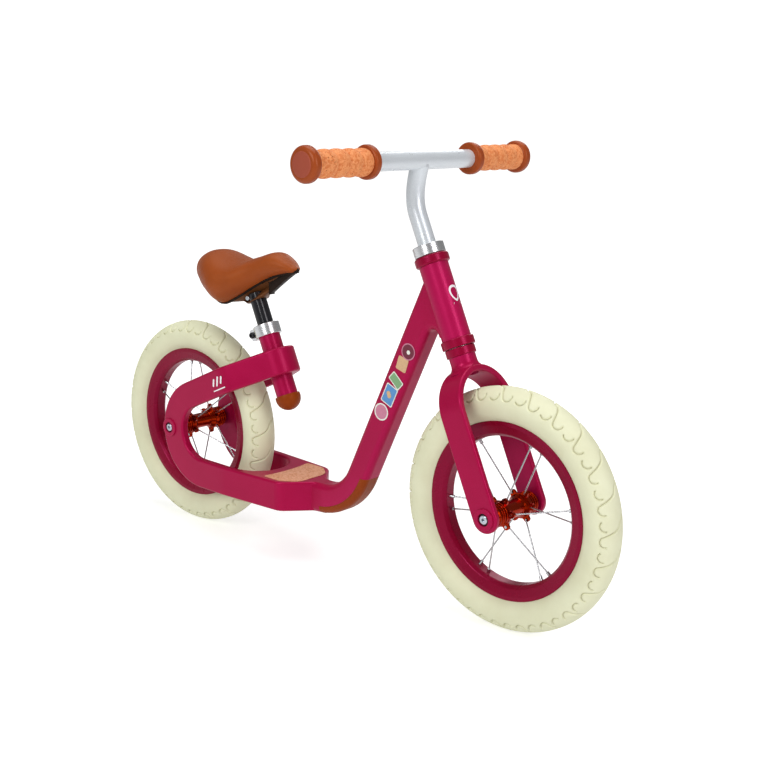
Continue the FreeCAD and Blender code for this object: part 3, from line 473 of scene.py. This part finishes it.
def tyre(prefix, body, hub):
    """Foam tyre with crescent grooves on its shoulders and waves across its crown."""
    angles, ring_radius, half_height, half_width, outer = tyre_profile(prefix + "_tyre", prefix + "_rim")
    pitch = 2 * math.pi * outer / PITCHES
    lines = tread_lines(pitch)
    across = angles * (half_height + half_width) / 2
    along = (np.arange(PITCH_STEPS) / PITCH_STEPS - 0.5) * pitch
    grid_along, grid_across = np.meshgrid(along, across, indexing="ij")
    depth = groove_depth(grid_along.ravel(), grid_across.ravel(), lines).reshape(grid_along.shape)
    foot_depth = 8.0 * MM
    foot_half_width = 9.0 * MM
    rows = PITCHES * PITCH_STEPS
    turn = 2 * math.pi * np.arange(rows) / rows
    depth = np.tile(depth, (PITCHES, 1))
    radial = ring_radius + (half_height - depth) * np.cos(angles)
    sideways = (half_width - depth) * np.sin(angles)
    foot_radius = np.full((rows, 1), radial[0, 0] - foot_depth)
    radial = np.hstack((foot_radius, radial, foot_radius))
    foot_side = np.full((rows, 1), foot_half_width)
    sideways = np.hstack((-foot_side, sideways, foot_side))
    x = hub.x + radial * np.cos(turn)[:, None]
    z = hub.z + radial * np.sin(turn)[:, None]
    vertices = np.stack((x, hub.y + sideways, z), axis=-1).reshape(-1, 3)
    faces = grid_faces(rows, radial.shape[1], closed_rows=True, closed_columns=True)
    piece = mesh_object(prefix + "_tyre_tread", vertices, faces, MATERIALS["tyre_foam"])
    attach(piece, body)
    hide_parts(prefix + "_tyre")


# ---------------------------------------------------------------- grips
def grip_sleeve(side):
    """Cork sleeve with soft finger waves, turned about the handlebar."""
    low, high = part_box(side + "_grip_sleeve")
    valley = 13.0 * MM
    wave_height = 2.9 * MM
    waves = 4.3
    first_wave = 0.05
    roundness = 0.5
    rings = 140
    sides = 72
    vertices = []
    for i in range(rings):
        t = i / (rings - 1)
        outward = t if side == "left" else 1 - t
        swell = abs(math.sin(math.pi * waves * (outward + first_wave))) ** roundness
        for j in range(sides):
            angle = 2 * math.pi * j / sides
            uneven = 1 + 0.007 * math.sin(3 * angle + 9 * t) + 0.005 * math.sin(5 * angle - 14 * t)
            around = STEER_FORWARD * math.cos(angle) + STEER_UP * math.sin(angle)
            place = Vector((BAR_CENTRE.x, low.y + t * (high.y - low.y), BAR_CENTRE.z))
            vertices.append(place + around * (valley + wave_height * swell) * uneven)
    faces = grid_faces(rings, sides, closed_columns=True) + end_caps(rings, sides)
    piece = mesh_object(side + "_cork_grip", vertices, faces, MATERIALS["cork"])
    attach(piece, "handlebar")
    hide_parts(side + "_grip_sleeve")


# ---------------------------------------------------------------- saddle
# Stations from tail to nose, in millimetres: ahead of the rear axle, half width, and heights of the top and
# of the lower edge. They were fitted to the saddle's outline in the photo and rounded to half a millimetre.
SADDLE_X = (13.0, 18.5, 32.0, 52.0, 76.0, 100.0, 130.0, 165.0, 185.0, 193.0, 197.0)
SADDLE_HALF = (0.0, 18.0, 28.0, 40.5, 48.0, 42.5, 28.5, 20.0, 13.5, 8.0, 0.0)
SADDLE_TOP = (365.5, 382.5, 392.5, 397.0, 391.5, 386.5, 395.0, 403.5, 394.0, 388.0, 385.5)
SADDLE_EDGE = (365.5, 354.0, 344.5, 336.0, 328.0, 338.0, 357.0, 374.0, 379.5, 381.0, 385.5)
# The widest line's height as a share of the rise from the edge to the top, and how far the skirt turns under.
SADDLE_WIDEST = 0.474
SADDLE_TUCK = math.radians(61)


def saddle_at(x):
    """Half width, top and lower edge of the saddle at x millimetres ahead of the rear axle."""
    half = np.sqrt(np.maximum(smooth_through(SADDLE_X, np.square(SADDLE_HALF), x), 0))
    rise = [a - b for a, b in zip(SADDLE_TOP, SADDLE_EDGE)]
    height = np.sqrt(np.maximum(smooth_through(SADDLE_X, np.square(rise), x), 0))
    middle = [(a + b) / 2 for a, b in zip(SADDLE_TOP, SADDLE_EDGE)]
    centre_z = smooth_through(SADDLE_X, middle, x)
    return half, centre_z + height / 2, centre_z - height / 2


def saddle_point(x, y, z):
    """Place in metres of a point given in millimetres from the rear axle and the ground."""
    return (REAR_HUB.x + x * MM, y * MM, z * MM)


def saddle_stations(count):
    """Places along the saddle, closer together at its ends."""
    t = np.linspace(0.02, 1, count) * math.pi
    return SADDLE_X[0] + (SADDLE_X[-1] - SADDLE_X[0]) * (1 - np.cos(t)) / 2


def saddle_cover():
    """Padded cover: a crowned dome whose skirt pulls in to the piping."""
    xs = np.unique(np.concatenate((saddle_stations(56)[:-1], [SADDLE_X[-1] - 0.02])))
    angles = np.linspace(-SADDLE_TUCK, math.pi + SADDLE_TUCK, 57)
    side_fullness = 0.9
    crown_fullness = 0.95
    vertices = []
    for x in xs:
        half, top, edge = saddle_at(x)
        waist = edge + SADDLE_WIDEST * (top - edge)
        for a in angles:
            c = math.cos(a)
            s = math.sin(a)
            if s >= 0:
                y = half * math.copysign(abs(c) ** side_fullness, c)
                z = waist + (top - waist) * s ** crown_fullness
            else:
                y = half * c
                z = waist + (waist - edge) * s / math.sin(SADDLE_TUCK)
            vertices.append(saddle_point(x, y, z))
    columns = len(angles)
    faces = grid_faces(len(xs), columns) + end_caps(len(xs), columns)
    for i in range(len(xs) - 1):
        faces.append((i * columns, (i + 1) * columns, (i + 2) * columns - 1, (i + 1) * columns - 1))
    piece = mesh_object("saddle_cover_soft", vertices, faces, MATERIALS["saddle_leather"])
    round_off = piece.modifiers.new("smooth", "SUBSURF")
    round_off.levels = round_off.render_levels = 1
    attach(piece, "seat")
    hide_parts("saddle_cover")


def saddle_rim(inset, lift, count=48):
    """Closed loop of points along the saddle's lower edge, drawn in by inset and raised by lift."""
    narrowest = 0.15
    right = []
    left = []
    for x in saddle_stations(count):
        half, _, edge = saddle_at(x)
        y = max(half * math.cos(SADDLE_TUCK) - inset, narrowest)
        right.append((x, -y, edge + lift))
        left.append((x, y, edge + lift))
    return right + left[::-1]


def tube_along(name, points, radius, material, sides=8):
    """Round closed tube through the points."""
    centres = [Vector(p) for p in points]
    count = len(centres)
    vertices = []
    for i, here in enumerate(centres):
        along = (centres[(i + 1) % count] - centres[i - 1]).normalized()
        out = along.cross(Vector((0, 0, 1))).normalized()
        up = out.cross(along)
        for j in range(sides):
            angle = 2 * math.pi * j / sides
            vertices.append(here + (out * math.cos(angle) + up * math.sin(angle)) * radius)
    faces = grid_faces(count, sides, closed_rows=True, closed_columns=True)
    return mesh_object(name, vertices, faces, material)


def saddle_underside():
    """Black piping along the cover's lower edge, and the black tray inside it."""
    seam = [saddle_point(*p) for p in saddle_rim(0.0, -0.2)]
    piping = tube_along("saddle_piping", seam, 1.0 * MM, UNDERSIDE_BLACK)
    tray_depth = 2.5
    tray_taper = 0.86
    lip = 1.5
    outer = saddle_rim(0.6, 0.6)
    inner = [(x, y * tray_taper, z - tray_depth) for x, y, z in outer]
    top = [(x, y, z + lip) for x, y, z in outer]
    loops = top + outer + inner
    count = len(outer)
    faces = grid_faces(3, count, closed_columns=True)
    faces.append(tuple(range(2 * count, 3 * count)))
    faces.append(tuple(reversed(range(count))))
    tray = mesh_object("saddle_tray", [saddle_point(*p) for p in loops], faces, UNDERSIDE_BLACK, smooth=False)
    for piece in (piping, tray):
        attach(piece, "seat")


def saddle_keel():
    """Moulded shell that narrows from under the tray to the socket on the seat post."""
    middle_x = 104.0
    half_length = 79.0
    side_fullness = 1.35
    widest_share = 0.93
    overlap = 0.5
    socket_half_length = 15.5
    socket_depth = 15 * MM
    bolt_cover = 1.2 * MM
    post_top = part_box("seat_post")[1].z
    post_middle = centre("seat_post")
    reach = (post_top - post_middle.z) / SEAT_UP.z
    socket = post_middle + SEAT_UP * (reach - socket_depth)
    socket_half_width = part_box("saddle_bolt")[1].y + bolt_cover
    levels = 9
    sides = 64
    vertices = []
    for i in range(levels):
        t = i / (levels - 1)
        flow = t * t * (3 - 2 * t)
        for j in range(sides):
            a = 2 * math.pi * j / sides
            x = middle_x + half_length * math.cos(a)
            half, _, edge = saddle_at(np.array(x))
            y = side_fullness * float(half) * math.cos(SADDLE_TUCK) * math.sin(a)
            limit = widest_share * float(half) * math.cos(SADDLE_TUCK)
            y = max(-limit, min(limit, y))
            wide = Vector(saddle_point(x, y, float(edge) + overlap))
            ahead = SEAT_FORWARD * (math.cos(a) * socket_half_length * MM)
            narrow = socket + ahead + SIDE * (math.sin(a) * socket_half_width)
            vertices.append(wide.lerp(narrow, flow))
    faces = grid_faces(levels, sides, closed_columns=True) + end_caps(levels, sides)
    piece = mesh_object("saddle_keel", vertices, faces, MATERIALS["saddle_shell"])
    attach(piece, "seat")
    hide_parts("saddle_base")


def saddle_nose_rib():
    """Black rib under the nose that runs back down to the front of the keel."""
    steps = 14
    front_x = 195.5
    length = 47.0
    front_z = 381.0
    drop = 33.5
    curve = 1.1
    overlap = 1.0
    thinnest = 1.5
    widest = 5.0
    taper = 0.9
    vertices = []
    for i in range(steps):
        t = i / (steps - 1)
        x = front_x - length * t
        half, _, edge = saddle_at(np.array(x))
        high = float(edge) + overlap
        low = min(high - thinnest, front_z - drop * t ** curve)
        wide = min(widest, 2.0 + float(half) * 0.3)
        for y, z in ((-wide, high), (-wide * taper, low), (wide * taper, low), (wide, high)):
            vertices.append(saddle_point(x, y, z))
    faces = grid_faces(steps, 4, closed_columns=True)
    faces += [(0, 1, 2, 3), tuple(reversed(range(4 * steps - 4, 4 * steps)))]
    piece = mesh_object("saddle_nose_rib", vertices, faces, UNDERSIDE_BLACK)
    soften = piece.modifiers.new("soften", "BEVEL")
    soften.width = 1.0 * MM
    soften.segments = 2
    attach(piece, "seat")


# ---------------------------------------------------------------- handlebar stem
def stem_tube():
    """Round tube up the steering axis, then in one long bend forward to the bar."""
    radius = 11.0 * MM
    foot_lift = 6 * MM
    corner_height = 384.0 * MM
    bend_below = 25 * MM
    bend_above = 38 * MM
    foot = (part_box("stem")[0].z - FRONT_HUB.z) / STEER_UP.z + foot_lift
    corner = FRONT_HUB + STEER_UP * corner_height
    leg = BAR_CENTRE - corner
    start = corner - STEER_UP * bend_below
    end = corner + leg.normalized() * min(bend_above, leg.length * 0.9)
    path = [FRONT_HUB + STEER_UP * foot]
    path += [path[0].lerp(start, k / 6) for k in range(1, 6)]
    bend_steps = 24
    for k in range(bend_steps + 1):
        t = k / bend_steps
        path.append(start * (1 - t) ** 2 + corner * (2 * t * (1 - t)) + end * t * t)
    path.append(corner + leg * 0.98)
    sides = 40
    vertices = []
    for i, here in enumerate(path):
        along = (path[min(i + 1, len(path) - 1)] - path[max(i - 1, 0)]).normalized()
        ahead = SIDE.cross(along).normalized()
        for j in range(sides):
            a = 2 * math.pi * j / sides
            vertices.append(here + (ahead * math.cos(a) + SIDE * math.sin(a)) * radius)
    faces = grid_faces(len(path), sides, closed_columns=True) + end_caps(len(path), sides)
    piece = mesh_object("stem_tube", vertices, faces, MATERIALS["silver_tube"])
    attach(piece, "handlebar")
    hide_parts("stem")


def grip_end_disc(side):
    """Slightly raised disc in the middle of the grip's end cap."""
    low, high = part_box(side + "_grip_cap")
    outward = 1 if side == "left" else -1
    face_y = high.y if side == "left" else low.y
    # radius and height over the cap's face, in millimetres
    profile = ((0.0, 0.5), (12.6, 0.5), (13.5, 0.35), (13.9, 0.0), (13.9, -1.0), (0.0, -1.0))
    pin_hole = 0.01
    sides = 56
    vertices = []
    for r, lift in profile:
        for j in range(sides):
            a = 2 * math.pi * j / sides
            ring = (STEER_FORWARD * math.cos(a) + STEER_UP * math.sin(a)) * max(r, pin_hole) * MM
            vertices.append(Vector((BAR_CENTRE.x, face_y + outward * lift * MM, BAR_CENTRE.z)) + ring)
    faces = grid_faces(len(profile), sides, closed_columns=True) + end_caps(len(profile), sides)
    piece = mesh_object(side + "_grip_end_disc", vertices, faces, DISC_BROWN)
    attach(piece, "handlebar")


# ---------------------------------------------------------------- plain graphics
def flat_shape(points, place, thickness=0.12 * MM):
    """Vertices and faces of a thin plate over a closed 2D outline."""
    top = [place(x, y, thickness) for x, y in points]
    bottom = [place(x, y, 0.0) for x, y in points]
    count = len(points)
    faces = [tuple(range(count)), tuple(reversed(range(count, 2 * count)))]
    faces += [(i, (i + 1) % count, count + (i + 1) % count, count + i)[::-1] for i in range(count)]
    return top + bottom, faces


def circle_outline(radius, count=40):
    angles = [2 * math.pi * i / count for i in range(count)]
    return [(radius * math.cos(a), radius * math.sin(a)) for a in angles]


def rounded_rectangle(width, height, corner, steps=6):
    points = []
    for quarter in range(4):
        sx = 1 if quarter in (0, 3) else -1
        sy = 1 if quarter in (0, 1) else -1
        for k in range(steps + 1):
            a = math.radians(90 * (quarter + k / steps))
            points.append((
                sx * (width / 2 - corner) + corner * math.cos(a),
                sy * (height / 2 - corner) + corner * math.sin(a),
            ))
    return points


def spun(points, angle):
    """The outline turned about its middle, anticlockwise by so many degrees."""
    c = math.cos(math.radians(angle))
    s = math.sin(math.radians(angle))
    return [(x * c - y * s, x * s + y * c) for x, y in points]


def side_sticker(name, outline, at, layer, material):
    """Flat sticker on the down tube's right face; at is in millimetres from the rear axle and the ground."""
    tube_face = -15.0 * MM
    gap = 0.02 * MM
    layer_step = 0.13
    face_y = tube_face - gap - layer * layer_step * MM
    x, z = at

    def place(a, b, lift):
        return Vector((REAR_HUB.x + x * MM + a * MM, face_y - lift, (z + b) * MM))

    vertices, faces = flat_shape(outline, place)
    piece = mesh_object(name, vertices, faces, material, smooth=False)
    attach(piece, "frame")


def down_tube_stickers():
    """Five overlapping plain stickers in travel-label shapes, without any wording."""
    low_round = (359.0, 228.5)
    blue = (371.5, 252.0)
    green = (381.5, 271.5)
    high_round = (399.5, 310.0)
    blue_tilt = -24.0
    green_tilt = -43.0
    stickers = (
        ("round_pale", circle_outline(11.0), low_round, 0, "pale"),
        ("round_pink", circle_outline(9.2), low_round, 1, "pink"),
        ("blue_edge", spun(rounded_rectangle(19.0, 26.0, 1.8), blue_tilt), blue, 1, "pale"),
        ("blue", spun(rounded_rectangle(16.4, 23.4, 1.4), blue_tilt), blue, 2, "blue"),
        ("blue_mark", spun(rounded_rectangle(6.0, 9.0, 2.6), 20), (371.0, 252.5), 3, "cream"),
        ("green_edge", spun(rounded_rectangle(21.0, 13.0, 1.8), green_tilt), green, 2, "pale"),
        ("green", spun(rounded_rectangle(18.4, 10.4, 1.2), green_tilt), green, 3, "green"),
        ("cream", spun(rounded_rectangle(16.0, 17.5, 2.0), -17.0), (390.5, 293.5), 1, "cream"),
        ("round_edge", circle_outline(10.4), high_round, 2, "pink"),
        ("round_plum", circle_outline(9.0), high_round, 3, "plum"),
        ("round_dot", circle_outline(2.6), (400.1, 309.4), 4, "pale"),
    )
    for name, outline, at, layer, colour in stickers:
        side_sticker("sticker_" + name, outline, at, layer, STICKERS[colour])


def printed_bar(name, length, width, x, y, angle, place, body):
    """Short printed line with round ends."""
    shape = [(px + x, py + y) for px, py in spun(rounded_rectangle(length, width, width * 0.49), angle)]
    vertices, faces = flat_shape(shape, place, 0.08 * MM)
    piece = mesh_object(name, vertices, faces, PRINT_WHITE, smooth=False)
    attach(piece, body)


def arm_print():
    """Plain white graphic on the right upper arm: three slanted bars over a thin line."""
    arm_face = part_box("main_frame")[0].y + 2 * MM
    middle_x = 101.0
    middle_z = 228.5
    tilt = math.radians(25)
    gap = 0.02 * MM

    def place(a, b, lift):
        x = middle_x + a * math.cos(tilt) - b * math.sin(tilt)
        z = middle_z + a * math.sin(tilt) + b * math.cos(tilt)
        return Vector((REAR_HUB.x + x * MM, arm_face - gap - lift, z * MM))

    for k, (x, length) in enumerate(((-8.0, 11.0), (0.0, 14.0), (8.0, 11.0))):
        printed_bar(f"arm_print_bar_{k}", length, 3.0, x, 0.0, 62.0, place, "frame")
    printed_bar("arm_print_line", 25.0, 1.6, 0.0, -11.0, 0.0, place, "frame")


def head_print():
    """Plain white leaf outline and a short bar on the front of the head tube."""
    head_radius = 17.65 * MM
    gap = 0.03 * MM
    thickness = 0.08 * MM
    leaf_width = 9.0
    leaf_height = 10.0
    inner_scale = 0.72
    leaf_level = 258.0
    bar_level = 246.0

    def place(a, b, lift):
        """Point b millimetres up the steering axis and a millimetres round the head tube."""
        angle = a * MM / head_radius
        r = head_radius + gap + lift
        on_axis = FRONT_HUB + STEER_UP * (b * MM)
        return on_axis + STEER_FORWARD * (r * math.cos(angle)) + SIDE * (r * math.sin(angle))

    def leaf_edge(scale):
        count = 24
        points = []
        for k in range(count):
            t = k / count * 2 * math.pi
            width = scale * leaf_width * abs(math.sin(t / 2)) ** 0.6
            x = math.copysign(width, math.sin(t)) * abs(math.sin(t)) ** 0.8
            points.append((x, -scale * leaf_height * math.cos(t)))
        return points

    outer = leaf_edge(1.0)
    inner = leaf_edge(inner_scale)
    count = len(outer)
    vertices = []
    for lift in (thickness, 0.0):
        vertices += [place(x, y + leaf_level, lift) for x, y in outer]
        vertices += [place(x, y + leaf_level, lift) for x, y in inner]
    faces = []
    for i in range(count):
        j = (i + 1) % count
        faces.append((i, count + i, count + j, j))
        faces.append((2 * count + i, 2 * count + j, 3 * count + j, 3 * count + i))
        faces.append((i, j, 2 * count + j, 2 * count + i))
        faces.append((count + i, 3 * count + i, 3 * count + j, count + j))
    leaf = mesh_object("head_print_leaf", vertices, faces, PRINT_WHITE, smooth=False)
    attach(leaf, "frame")
    printed_bar("head_print_bar", 12.0, 1.8, 0.0, bar_level, 0.0, place, "frame")


# ---------------------------------------------------------------- camera, lights and floor
# The camera's place in metres, its angles in degrees and its lens in millimetres, as solved from the photo.
CAMERA_PLACE = (1.0469, -1.1164, 0.6098)
CAMERA_YAW = math.radians(41.02)
CAMERA_DOWN = math.radians(13.32)
CAMERA_ROLL = math.radians(1.42)
CAMERA_LENS = 57.64
CAMERA_SENSOR = 36.0


def add_camera():
    """Seen from the right front, a little above the bar."""
    across = math.cos(CAMERA_DOWN)
    forward = Vector((-math.sin(CAMERA_YAW) * across, math.cos(CAMERA_YAW) * across, -math.sin(CAMERA_DOWN)))
    level = Vector((math.cos(CAMERA_YAW), math.sin(CAMERA_YAW), 0))
    upright = level.cross(forward)
    right = level * math.cos(CAMERA_ROLL) + upright * math.sin(CAMERA_ROLL)
    up = upright * math.cos(CAMERA_ROLL) - level * math.sin(CAMERA_ROLL)
    data = bpy.data.cameras.new("camera")
    data.lens = CAMERA_LENS
    data.sensor_width = CAMERA_SENSOR
    data.clip_end = 100.0
    camera = bpy.data.objects.new("camera", data)
    bpy.context.scene.collection.objects.link(camera)
    pose = Matrix((right, up, -forward)).transposed().to_4x4()
    pose.translation = CAMERA_PLACE
    camera.matrix_world = pose
    bpy.context.scene.camera = camera


def add_area(name, place, target, size, power, colour=(1, 1, 1)):
    """Rectangular lamp that faces the target: metres and watts."""
    data = bpy.data.lights.new(name, "AREA")
    data.shape = "RECTANGLE"
    data.size, data.size_y = size
    data.energy = power
    data.color = colour
    light = bpy.data.objects.new(name, data)
    bpy.context.scene.collection.objects.link(light)
    light.location = place
    light.rotation_euler = (Vector(target) - Vector(place)).to_track_quat("-Z", "Y").to_euler()


def add_lights():
    middle = (0.0, 0.0, 0.25)
    add_area("key", (0.1, -2.6, 1.7), middle, size=(1.5, 1.2), power=36)
    add_area("front", (2.5, -0.4, 1.3), middle, size=(0.9, 1.6), power=24, colour=(1.0, 0.97, 1.0))
    add_area("top", (-0.2, 0.2, 2.6), middle, size=(2.2, 1.8), power=34)
    add_area("left_rim", (-0.8, 2.2, 1.5), middle, size=(1.2, 1.0), power=9)


def add_world():
    """Surroundings that look white to the camera and are dimmer as a light."""
    seen = 1.15
    as_light = 0.24
    world = bpy.data.worlds.new("studio")
    bpy.context.scene.world = world
    world.use_nodes = True
    nodes = world.node_tree.nodes
    links = world.node_tree.links
    background = nodes["Background"]
    background.inputs["Color"].default_value = (1, 1, 1, 1)
    path = nodes.new("ShaderNodeLightPath")
    level = nodes.new("ShaderNodeMapRange")
    level.inputs["To Min"].default_value = as_light
    level.inputs["To Max"].default_value = seen
    links.new(path.outputs["Is Camera Ray"], level.inputs["Value"])
    links.new(level.outputs["Result"], background.inputs["Strength"])


def add_floor():
    """Plain floor that glows for the camera, more with distance, so that only a soft shadow is left on it."""
    near_radius = 0.35
    far_radius = 1.5
    near_glow = 0.60
    far_glow = 0.95
    glow_as_light = 0.30
    grey = 0.62
    reach = 40.0
    material = bpy.data.materials.new("floor_white")
    material.use_nodes = True
    shader = material.node_tree.nodes["Principled BSDF"]
    shader.inputs["Base Color"].default_value = (grey, grey, grey, 1)
    shader.inputs["Emission Color"].default_value = (1, 1, 1, 1)
    nodes = material.node_tree.nodes
    links = material.node_tree.links
    place = nodes.new("ShaderNodeTexCoord")
    distance = nodes.new("ShaderNodeVectorMath")
    distance.operation = "LENGTH"
    far = nodes.new("ShaderNodeMapRange")
    far.inputs["From Min"].default_value = near_radius
    far.inputs["From Max"].default_value = far_radius
    far.inputs["To Min"].default_value = near_glow
    far.inputs["To Max"].default_value = far_glow
    path = nodes.new("ShaderNodeLightPath")
    glow = nodes.new("ShaderNodeMapRange")
    glow.inputs["To Min"].default_value = glow_as_light
    links.new(place.outputs["Object"], distance.inputs[0])
    links.new(distance.outputs["Value"], far.inputs["Value"])
    links.new(far.outputs["Result"], glow.inputs["To Max"])
    links.new(path.outputs["Is Camera Ray"], glow.inputs["Value"])
    links.new(glow.outputs["Result"], shader.inputs["Emission Strength"])
    corners = [(-reach, -reach, 0), (reach, -reach, 0), (reach, reach, 0), (-reach, reach, 0)]
    floor = mesh_object("floor", corners, [(0, 1, 2, 3)], material, smooth=False)


def build():
    add_camera()
    add_lights()
    add_world()
    add_floor()
    dress_cad_nodes()
    tyre("front", "front_wheel", FRONT_HUB)
    tyre("rear", "rear_wheel", REAR_HUB)
    for side in ("left", "right"):
        grip_sleeve(side)
        grip_end_disc(side)
    saddle_cover()
    saddle_underside()
    saddle_keel()
    saddle_nose_rib()
    stem_tube()
    down_tube_stickers()
    arm_print()
    head_print()
    bpy.context.scene.view_settings.view_transform = "Standard"


build()
